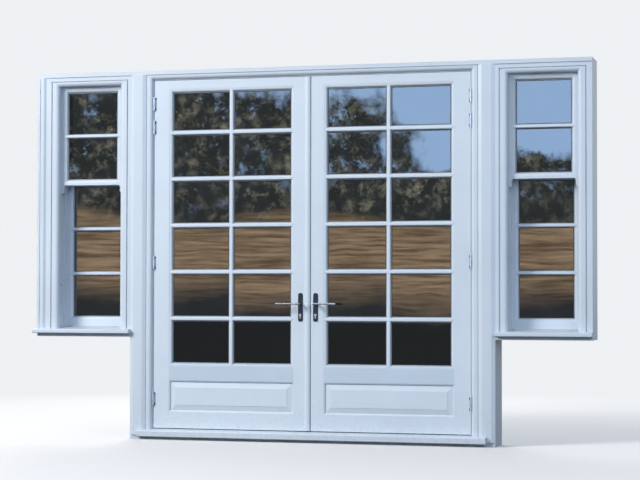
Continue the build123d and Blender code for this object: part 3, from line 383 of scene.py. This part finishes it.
# The lock rails get a darker, greyer white than the rest of the leaves.
GREYER_RAIL_WHITE = (0.55, 0.64, 0.74)
frame_paints = (painted("frame_paint_upright", FRAME_WHITE_WITH_SKY_SHADE, True),
                painted("frame_paint_level", FRAME_WHITE_WITH_SKY_SHADE, False))
leaf_paints = (painted("leaf_paint_upright", LEAF_WHITE_WITH_SKY_SHADE, True),
               painted("leaf_paint_level", LEAF_WHITE_WITH_SKY_SHADE, False))
greyer_rail_finish = painted("greyer_rail_paint", GREYER_RAIL_WHITE, False)
print("paints", [m.name for m in (*frame_paints, *leaf_paints, greyer_rail_finish)])

# %% [markdown]
# ## Glass
#
# Each pane is a sealed unit with a dark room behind it. The room is not built: instead the glass is
# tinted almost black, which is painted shade standing in for it. The solid stands for both sheets,
# so its refraction is set high enough to mirror as much as the four faces of a real unit do
# together.
# No two panes of such a door lie quite in one plane, and that is what makes their reflections
# jump from pane to pane. White noise on the pane's column and row tips each one by up to a
# quarter of a degree each way, and a slow, very low wave bends the picture within it.

# %% Glass
# Painted shade: the near-black tint stands in for the dark room behind the glass; the film noise
# below varies it by up to half again.
DARK_ROOM_SHADE_TINT = (0.012, 0.014, 0.016)
UNIT_REFRACTION = 1.9
PANE_TILT = 0.009  # from one side to the other, in radians
PANE_WAVE = 0.0007
DOOR_PANES = (0.563, 0.5080, 0.3257)  # column width, foot of the lowest row, row height
WINDOW_PANES = (4.0, 1.4820, 0.3293)


def pane_glass(name, columns, foot, rows):
    """Glass tinted almost black as painted shade for the room behind, that tips a little, by a
    random amount in each pane.
    """
    material, tree, shader = new_material(name)
    shader.inputs["Transmission Weight"].default_value = 1.0
    shader.inputs["IOR"].default_value = UNIT_REFRACTION
    place = coordinates(tree)
    x, _, z = split(tree, place)
    cell = tree.nodes.new("ShaderNodeCombineXYZ")
    column = maths(tree, "FLOOR", maths(tree, "DIVIDE", x, columns))
    row = maths(tree, "FLOOR", maths(tree, "DIVIDE", maths(tree, "SUBTRACT", z, foot), rows))
    feed(tree, cell.inputs, (column, row, 0.0))
    chance = tree.nodes.new("ShaderNodeTexWhiteNoise")
    link(tree, cell.outputs[0], chance.inputs["Vector"])
    tip = vector_maths(tree, "SUBTRACT", chance.outputs["Color"], (0.5, 0.5, 0.5))
    tip = vector_maths(tree, "MULTIPLY", tip, (PANE_TILT, 0.0, PANE_TILT))
    facing = tree.nodes.new("ShaderNodeNewGeometry").outputs["Normal"]
    tipped = vector_maths(tree, "NORMALIZE", vector_maths(tree, "ADD", facing, tip))

    wave = noise(tree, place, 1.0, 1.0, (3.0, 3.0, 3.6))
    film = noise(tree, place, 6.0, 4.0)
    link(tree, mix_colour(tree, map_range(tree, film, 0.35, 0.7), DARK_ROOM_SHADE_TINT,
                          tuple(1.5 * c for c in DARK_ROOM_SHADE_TINT)), shader.inputs["Base Color"])
    link(tree, map_range(tree, film, 0.3, 0.8, 0.0, 0.02), shader.inputs["Roughness"])
    link(tree, bump(tree, wave, 0.25, PANE_WAVE, tipped), shader.inputs["Normal"])
    return material


door_glass = pane_glass("door_glass", *DOOR_PANES)
window_glass = pane_glass("window_glass", *WINDOW_PANES)
print("glass tips by up to", round(math.degrees(PANE_TILT / 2), 2), "degrees")

# %% [markdown]
# ## Metal, rubber and sealant
#
# Levers and cylinders are polished and only slightly worn, the back plates and catches are dark
# and satin, the hinges are dull silver, and the hidden lock parts are brushed steel. One function
# serves them all, because they differ in colour, sheen and grain alone. A second one serves the
# black rubber and the pale sealant.

# %% Metal, rubber and sealant


def metal(name, colour, sheen, grain, metallic=1.0, stretch=(1.0, 1.0, 1.0)):
    """Metal whose sheen varies over the surface; sheen is its lowest and highest roughness."""
    material, tree, shader = new_material(name)
    shader.inputs["Metallic"].default_value = metallic
    place = coordinates(tree)
    smear = noise(tree, place, 30.0, 4.0)
    fine = noise(tree, place, grain, 3.0, stretch)
    dull = tuple(0.82 * c for c in colour)
    link(tree, mix_colour(tree, map_range(tree, smear, 0.35, 0.7), colour, dull),
         shader.inputs["Base Color"])
    link(tree, map_range(tree, smear, 0.3, 0.7, *sheen), shader.inputs["Roughness"])
    link(tree, bump(tree, fine, 0.08, 0.0003), shader.inputs["Normal"])
    return material


def soft_matter(name, colour, light, roughness):
    """Rubber or sealant, flecked with a second tone."""
    material, tree, shader = new_material(name)
    fleck = noise(tree, coordinates(tree), 120.0, 4.0)
    link(tree, mix_colour(tree, map_range(tree, fleck, 0.4, 0.7), colour, light),
         shader.inputs["Base Color"])
    shader.inputs["Roughness"].default_value = roughness
    link(tree, bump(tree, fleck, 0.2, 0.0004), shader.inputs["Normal"])
    return material


polished = metal("polished_metal", (0.54, 0.56, 0.59), (0.18, 0.30), 260.0)
dark = metal("dark_metal", (0.022, 0.026, 0.034), (0.32, 0.48), 400.0, metallic=0.6)
steel = metal("brushed_steel", (0.52, 0.53, 0.54), (0.28, 0.42), 8.0, stretch=(60.0, 60.0, 2.0))
hinge_silver = metal("hinge_metal", (0.46, 0.50, 0.56), (0.34, 0.48), 300.0, metallic=0.75)
rubber = soft_matter("seal_rubber", (0.03, 0.03, 0.032), (0.06, 0.06, 0.062), 0.8)
sealant = soft_matter("glazing_sealant", (0.38, 0.42, 0.48), (0.46, 0.50, 0.56), 0.55)
print("metals and soft finishes ready")

# %% [markdown]
# ## Dressing the solids
#
# The record says which finish each solid has. Paint also needs the direction of its brush lines:
# rails, heads, sills and the panel lie level, and everything else stands upright.

# %% Give every solid its finish
LEVEL_WORDS = ("rail", "head", "sill", "panel")
finishes = {"polished_metal": polished, "dark_metal": dark, "steel": steel,
            "hinge_metal": hinge_silver, "seal": rubber}
paints = {"frame_paint": frame_paints, "leaf_paint": leaf_paints}
slot_of = {row["node"]: row["material_slot"] for row in frame["record"]["subparts"]}


def finish_for(name):
    slot_name = slot_of[name]
    if "lock_rail" in name:
        return greyer_rail_finish
    if slot_name == "glass":
        return window_glass if "sash" in name else door_glass
    if slot_name in paints:
        return paints[slot_name][any(word in name for word in LEVEL_WORDS)]
    return finishes[slot_name]


for name, solid in nodes.items():
    solid.data.materials.clear()
    solid.data.materials.append(finish_for(name))
print("dressed", len(nodes), "solids")

# %% [markdown]
# ## Where the small pieces go
#
# Screws, keyholes and sealant sit on solids that are already in place, so their positions are
# measured and not typed. A node may hold several loose solids, such as twelve panes. A merged
# copy of its mesh is walked face by face, and each island of joined faces gives one box.

# %% Boxes of the loose solids in a node


def solid_boxes(name):
    """The lowest and highest corner of each loose solid in a node."""
    copy = bmesh.new()
    copy.from_mesh(nodes[name].data)
    bmesh.ops.remove_doubles(copy, verts=copy.verts, dist=1e-6)
    waiting = set(copy.verts)
    boxes = []
    while waiting:
        island = [waiting.pop()]
        for vert in island:
            for edge in vert.link_edges:
                other = edge.other_vert(vert)
                if other in waiting:
                    waiting.remove(other)
                    island.append(other)
        spans = [[vert.co[axis] for vert in island] for axis in range(3)]
        boxes.append((Vector([min(s) for s in spans]), Vector([max(s) for s in spans])))
    copy.free()
    return sorted(boxes, key=lambda box: tuple(box[0]))


print("panes in one leaf:", len(solid_boxes("left_glass")))

# %% [markdown]
# ## Geometry Nodes helpers
#
# A tree made for one job takes its sizes as named inputs. It runs on a guide mesh, and its result
# is copied out as a plain mesh, so the finished piece carries no modifier. Inputs are set by
# their identifier before the guide is first evaluated.

# %% Make and run a tree


def geometry_tree(name, sizes):
    """A tree with a guide to work on, named size inputs and a finish."""
    tree = bpy.data.node_groups.new(name, "GeometryNodeTree")
    tree.interface.new_socket("Guide", in_out="INPUT", socket_type="NodeSocketGeometry")
    for size in sizes:
        tree.interface.new_socket(size, in_out="INPUT", socket_type="NodeSocketFloat")
    tree.interface.new_socket("Finish", in_out="INPUT", socket_type="NodeSocketMaterial")
    tree.interface.new_socket("Geometry", in_out="OUTPUT", socket_type="NodeSocketGeometry")
    return tree, tree.nodes.new("NodeGroupInput").outputs


def end_tree(tree, geometry, finish):
    """Realize the instances, set the material and send the result out."""
    real = tree.nodes.new("GeometryNodeRealizeInstances")
    coat = tree.nodes.new("GeometryNodeSetMaterial")
    feed(tree, (real.inputs[0], coat.inputs["Material"]), (geometry, finish))
    link(tree, real.outputs[0], coat.inputs[0])
    link(tree, coat.outputs[0], tree.nodes.new("NodeGroupOutput").inputs[0])


def run_tree(name, tree, guide_mesh, values):
    """The tree's result on a guide mesh, as a new plain object."""
    guide = bpy.data.objects.new(name + "_guide", guide_mesh)
    bpy.context.scene.collection.objects.link(guide)
    modifier = guide.modifiers.new("nodes", "NODES")
    modifier.node_group = tree
    for item in tree.interface.items_tree:
        if item.name in values:
            modifier[item.identifier] = values[item.name]
    settled = guide.evaluated_get(bpy.context.evaluated_depsgraph_get())
    made = bpy.data.meshes.new_from_object(settled)
    bpy.data.objects.remove(guide)
    piece = bpy.data.objects.new(name, made)
    bpy.context.scene.collection.objects.link(piece)
    print(name, len(made.polygons), "faces")
    return piece


# %% [markdown]
# ## Sealant and the edge of each pane
#
# A pale line of sealant shows where the glass meets the moulding. It is gunned in one run round
# each pane, so its corners are slightly round. Just inside it, the black edge of the sealed unit
# shows as a thinner line. Each pane gives a loop of four edges on its front face, a little inside
# the timber. The tree turns the loops into curves, rounds the corners and sweeps a flat bead
# along them. It runs twice for each body, once for either line.

# %% Sealant tree
SEAL_WIDTH = 0.005
SEAL_RISE = 0.0016
SEAL_CORNER = 0.004
EDGE_WIDTH = 0.0045  # the dark edge of the sealed unit, just inside the sealant
EDGE_RISE = 0.0006
BEAD_SIDES = 8
CORNER_STEPS = 3


def sealant_tree():
    tree, inputs = geometry_tree("sealant_run", ("Width", "Rise", "Corner"))
    curve = tree.nodes.new("GeometryNodeMeshToCurve")
    rounded = tree.nodes.new("GeometryNodeFilletCurve")
    rounded.mode = "POLY"
    feed(tree, (curve.inputs["Mesh"],), (inputs["Guide"],))
    feed(tree, (rounded.inputs["Curve"], rounded.inputs["Count"], rounded.inputs["Radius"]),
         (curve.outputs[0], CORNER_STEPS, inputs["Corner"]))
    profile = tree.nodes.new("GeometryNodeCurvePrimitiveCircle")
    profile.inputs["Resolution"].default_value = BEAD_SIDES
    profile.inputs["Radius"].default_value = 0.5
    flat = tree.nodes.new("GeometryNodeTransform")
    scale = tree.nodes.new("ShaderNodeCombineXYZ")
    feed(tree, scale.inputs, (inputs["Rise"], inputs["Width"], 1.0))
    feed(tree, (flat.inputs["Geometry"], flat.inputs["Scale"]),
         (profile.outputs[0], scale.outputs[0]))
    sweep = tree.nodes.new("GeometryNodeCurveToMesh")
    feed(tree, (sweep.inputs["Curve"], sweep.inputs["Profile Curve"]),
         (rounded.outputs[0], flat.outputs[0]))
    end_tree(tree, sweep.outputs[0], inputs["Finish"])
    return tree


sealant_run = sealant_tree()

# %% Sealant and edge pieces, for each leaf and sash
DOOR_COVER = (0.020, 0.009)  # timber in front of the glass at the frame's edge and at a bar
SASH_COVER = (0.018, 0.007)
SAME_PLACE = 0.001  # a pane this near to the outermost one's edge lies at the frame


def daylight_loops(name, cover, inset):
    """A mesh of one loop for each pane, on its front face and a little inside the timber."""
    boxes = solid_boxes(name)
    whole_low = [min(low[axis] for low, _ in boxes) for axis in range(3)]
    whole_high = [max(high[axis] for _, high in boxes) for axis in range(3)]
    frame_cover, bar_cover = cover
    verts = []
    edges = []
    for low, high in boxes:
        sides = {}
        for axis in (0, 2):
            at_low = low[axis] < whole_low[axis] + SAME_PLACE
            at_high = high[axis] > whole_high[axis] - SAME_PLACE
            sides[axis] = (low[axis] + (frame_cover if at_low else bar_cover) + inset,
                           high[axis] - (frame_cover if at_high else bar_cover) - inset)
        (x0, x1), (z0, z1) = sides[0], sides[2]
        first = len(verts)
        verts += [(x0, low[1], z0), (x1, low[1], z0), (x1, low[1], z1), (x0, low[1], z1)]
        edges += [(first + i, first + (i + 1) % 4) for i in range(4)]
    mesh = bpy.data.meshes.new(name + "_daylight")
    mesh.from_pydata(verts, edges, [])
    return mesh


for side in ("left", "right"):
    for part, glass_name, cover in (("leaf", "glass", DOOR_COVER),
                                    ("upper_sash", "upper_sash_glass", SASH_COVER),
                                    ("lower_sash", "lower_sash_glass", SASH_COVER)):
        for kind, width, rise, inset, finish in (
                ("sealant", SEAL_WIDTH, SEAL_RISE, SEAL_WIDTH / 2, sealant),
                ("pane_edge", EDGE_WIDTH, EDGE_RISE, SEAL_WIDTH + EDGE_WIDTH / 2, rubber)):
            loops = daylight_loops(f"{side}_{glass_name}", cover, inset)
            bead = run_tree(f"{side}_{part}_{kind}", sealant_run, loops,
                            {"Width": width, "Rise": rise, "Corner": SEAL_CORNER, "Finish": finish})
            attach(bead, f"{side}_{part}")

# %% [markdown]
# ## Screws and keyholes
#
# A screw head and the plug of a lock are both a low disc with a slot: the screw has a cross of two
# equal slots, and the plug has one long narrow slot. One tree cuts such a disc and puts a copy on
# every point of the guide, turned to the direction that the point faces. Screws also get a random
# spin, with a fixed seed, because nobody lines them up. The same tree makes the dark discs that sit
# in the notches beside the hinges, from a wider and higher disc; they are painted shade that
# deepens the notches' own shadow.

# %% Slotted disc tree
SPIN_SEED = 7
DISC_SIDES = 24
DISC_TAPER = 0.86  # the top's radius, as a share of the foot's


def slotted_disc_tree():
    tree, inputs = geometry_tree("slotted_discs", ("Radius", "Height", "Slot Width", "Slot Length",
                                                   "Slot Across", "Slot Depth", "Spin"))
    disc = tree.nodes.new("GeometryNodeMeshCone")
    disc.inputs["Vertices"].default_value = DISC_SIDES
    top_radius = maths(tree, "MULTIPLY", inputs["Radius"], DISC_TAPER)
    feed(tree, (disc.inputs["Radius Top"], disc.inputs["Radius Bottom"], disc.inputs["Depth"]),
         (top_radius, inputs["Radius"], inputs["Height"]))
    cut = tree.nodes.new("GeometryNodeMeshBoolean")
    cut.operation = "DIFFERENCE"
    cut.solver = "EXACT"
    link(tree, disc.outputs["Mesh"], cut.inputs["Mesh 1"])
    deep = maths(tree, "MULTIPLY", inputs["Slot Depth"], 2.0)
    for wide, long in ((inputs["Slot Width"], inputs["Slot Length"]),
                       (inputs["Slot Across"], inputs["Slot Width"])):
        slot = tree.nodes.new("GeometryNodeMeshCube")
        size = tree.nodes.new("ShaderNodeCombineXYZ")
        feed(tree, size.inputs, (wide, long, deep))
        link(tree, size.outputs[0], slot.inputs["Size"])
        lift = tree.nodes.new("ShaderNodeCombineXYZ")
        feed(tree, lift.inputs, (0.0, 0.0, inputs["Height"]))
        raised = tree.nodes.new("GeometryNodeTransform")
        feed(tree, (raised.inputs["Geometry"], raised.inputs["Translation"]),
             (slot.outputs["Mesh"], lift.outputs[0]))
        link(tree, raised.outputs[0], cut.inputs["Mesh 2"])

    facing = tree.nodes.new("GeometryNodeInputNamedAttribute")
    facing.data_type = "FLOAT_VECTOR"
    facing.inputs["Name"].default_value = "facing"
    aim = tree.nodes.new("FunctionNodeAlignRotationToVector")
    aim.axis = "Z"
    link(tree, facing.outputs["Attribute"], aim.inputs["Vector"])
    copies = tree.nodes.new("GeometryNodeInstanceOnPoints")
    feed(tree, (copies.inputs["Points"], copies.inputs["Instance"], copies.inputs["Rotation"]),
         (inputs["Guide"], cut.outputs["Mesh"], aim.outputs[0]))
    chance = tree.nodes.new("FunctionNodeRandomValue")
    chance.data_type = "FLOAT"
    chance.inputs["Seed"].default_value = SPIN_SEED
    spin = tree.nodes.new("ShaderNodeCombineXYZ")
    feed(tree, spin.inputs, (0.0, 0.0, maths(tree, "MULTIPLY", chance.outputs[1], inputs["Spin"])))
    spun = tree.nodes.new("GeometryNodeRotateInstances")
    feed(tree, (spun.inputs["Instances"], spun.inputs["Rotation"]),
         (copies.outputs[0], spin.outputs[0]))
    end_tree(tree, spun.outputs[0], inputs["Finish"])
    return tree


slotted_discs = slotted_disc_tree()

# %% Points for the screws, shade discs and plugs


def facing_points(name, places):
    """A mesh of single points, each with the direction that it faces."""
    mesh = bpy.data.meshes.new(name)
    mesh.from_pydata([place for place, _ in places], [], [])
    facing = mesh.attributes.new("facing", "FLOAT_VECTOR", "POINT")
    for row, (_, direction) in zip(facing.data, places):
        row.vector = direction
    return mesh


SCREW_RADIUS = 0.0036
SCREW_HEIGHT = 0.0012
SCREW_SLOT = 0.0008
PLATE_END = 0.011  # screws lie this far from a back plate's ends
HINGE_SCREWS = ((-0.032, 0.009), (0.0, 0.021), (0.032, 0.009))  # up from the middle, and back
PLATE_START = 0.0145  # a hinge plate starts this far behind the front of its knuckles
PIN_DEPTH = 0.02  # a loose pin is less deep than this, and a plate with its knuckles is deeper
KNUCKLE_TO_PLATE = 0.0002  # the faces of the two plates nearly meet at the knuckle's middle
STRIP_SCREW_PITCH = 0.30
SHADE_DISC_FROM_END = 0.009
SHADE_DISC_X = 1.125
SHADE_DISC_BACK = -0.0899  # the back of the notch
KEEP_SCREW_IN = 0.007
CYLINDER_RADIUS = 0.0085
LOW_HALF = 1.0  # a keep below this height is the sill's
FLUSH = 0.0001  # what a countersunk head stands proud


def back_plate_screws(side):
    """Two screws at the ends of each back plate."""
    places = []
    outer, inner = sorted(solid_boxes(f"{side}_handle_plates"), key=lambda box: box[0][1])
    for (low, high), y, turn_y in ((outer, outer[0][1], -1), (inner, inner[1][1], 1)):
        for z in (low[2] + PLATE_END, high[2] - PLATE_END):
            places.append((((low[0] + high[0]) / 2, y, z), (0, turn_y, 0)))
    return places


def hinge_boxes(side, node):
    """The boxes of a node's hinge halves, without its loose pins."""
    return [box for box in solid_boxes(f"{side}_{node}") if box[1][1] - box[0][1] >= PIN_DEPTH]


def hinge_screws(side, node, toward_leaf):
    """Three flush screws in every plate of a node; they face the other plate."""
    outward = 1 if side == "right" else -1
    face = -outward if toward_leaf else outward
    places = []
    for low, high in hinge_boxes(side, node):
        middle_x = (low[0] + high[0]) / 2 - face * KNUCKLE_TO_PLATE
        plate_start = low[1] + PLATE_START
        for up, back in HINGE_SCREWS:
            place = (middle_x - face * (SCREW_HEIGHT - FLUSH), plate_start + back,
                     (low[2] + high[2]) / 2 + up)
            places.append((place, (face, 0, 0)))
    return places


def hinge_shade_discs(side):
    """A dark disc of painted shade in the notch at each end of every hinge."""
    outward = 1 if side == "right" else -1
    places = []
    for low, high in hinge_boxes(side, "hinge_leaf_plates"):
        for z in (low[2] + SHADE_DISC_FROM_END, high[2] - SHADE_DISC_FROM_END):
            places.append(((outward * SHADE_DISC_X, SHADE_DISC_BACK, z), (0, -1, 0)))
    return places


def strip_screws(side):
    """A row of flush screws down the strip on the meeting edge."""
    low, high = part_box(f"{side}_lock_strip")
    face = 1 if side == "left" else -1
    x = (high[0] if side == "left" else low[0]) - face * (SCREW_HEIGHT - FLUSH)
    count = int((high[2] - low[2]) / STRIP_SCREW_PITCH)
    start = (high[2] + low[2] - count * STRIP_SCREW_PITCH) / 2
    return [((x, (low[1] + high[1]) / 2, start + i * STRIP_SCREW_PITCH), (face, 0, 0))
            for i in range(count + 1)]


def plug_places(side):
    """The middle of the lock's round part, on both faces of the door."""
    low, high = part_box(f"{side}_lock_cylinder")
    x, z = (low[0] + high[0]) / 2, high[2] - CYLINDER_RADIUS
    return [((x, low[1], z), (0, -1, 0)), ((x, high[1], z), (0, 1, 0))]


def keep_screws():
    """Two flush screws in each bolt keep."""
    places = []
    for low, high in solid_boxes("bolt_keeps"):
        up = 1 if low[2] < LOW_HALF else -1
        z = (high[2] if up > 0 else low[2]) - up * (SCREW_HEIGHT - FLUSH)
        for x in (low[0] + KEEP_SCREW_IN, high[0] - KEEP_SCREW_IN):
            places.append(((x, (low[1] + high[1]) / 2, z), (0, 0, up)))
    return places


# %% Sizes of the three kinds of disc
SCREW_SIZES = {"Radius": SCREW_RADIUS, "Height": SCREW_HEIGHT, "Slot Width": SCREW_SLOT,
               "Slot Length": 1.3 * SCREW_RADIUS, "Slot Across": 1.3 * SCREW_RADIUS,
               "Slot Depth": 0.6 * SCREW_HEIGHT, "Spin": math.pi}
SHADE_DISC_RADIUS = 0.0075
SHADE_DISC_SIZES = {"Radius": SHADE_DISC_RADIUS, "Height": 0.004, "Slot Width": 0.0012,
              "Slot Length": SHADE_DISC_RADIUS, "Slot Across": SHADE_DISC_RADIUS, "Slot Depth": 0.0010,
              "Spin": math.pi}
PLUG_RADIUS = 0.0066
PLUG_SIZES = {"Radius": PLUG_RADIUS, "Height": 0.0007, "Slot Width": 0.0016,
              "Slot Length": 1.35 * PLUG_RADIUS, "Slot Across": 0.0016, "Slot Depth": 0.0006,
              "Spin": 0.0}

# %% Screws, shade discs and plugs, one piece for each body and kind


def discs(name, body, places, sizes, finish):
    """Slotted discs at some places, as one piece that rides on a body."""
    piece = run_tree(name, slotted_discs, facing_points(name + "_points", places),
                     {**sizes, "Finish": finish})
    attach(piece, body)


for side in ("left", "right"):
    leaf = f"{side}_leaf"
    discs(f"{side}_back_plate_screws", leaf, back_plate_screws(side), SCREW_SIZES, dark)
    discs(f"{side}_leaf_hinge_screws", leaf, hinge_screws(side, "hinge_leaf_plates", False),
          SCREW_SIZES, hinge_silver)
    discs(f"{side}_frame_hinge_screws", "frame", hinge_screws(side, "hinge_frame_plates", True),
          SCREW_SIZES, hinge_silver)
    discs(f"{side}_strip_screws", leaf, strip_screws(side), SCREW_SIZES, steel)
    # Painted shade: black discs in the hinge notches darken them beyond their own shadow.
    discs(f"{side}_hinge_shade_discs", leaf, hinge_shade_discs(side), SHADE_DISC_SIZES, rubber)
discs("keep_screws", "frame", keep_screws(), SCREW_SIZES, steel)
for side in ("left", "right"):
    discs(f"{side}_lock_plugs", f"{side}_leaf", plug_places(side), PLUG_SIZES, polished)
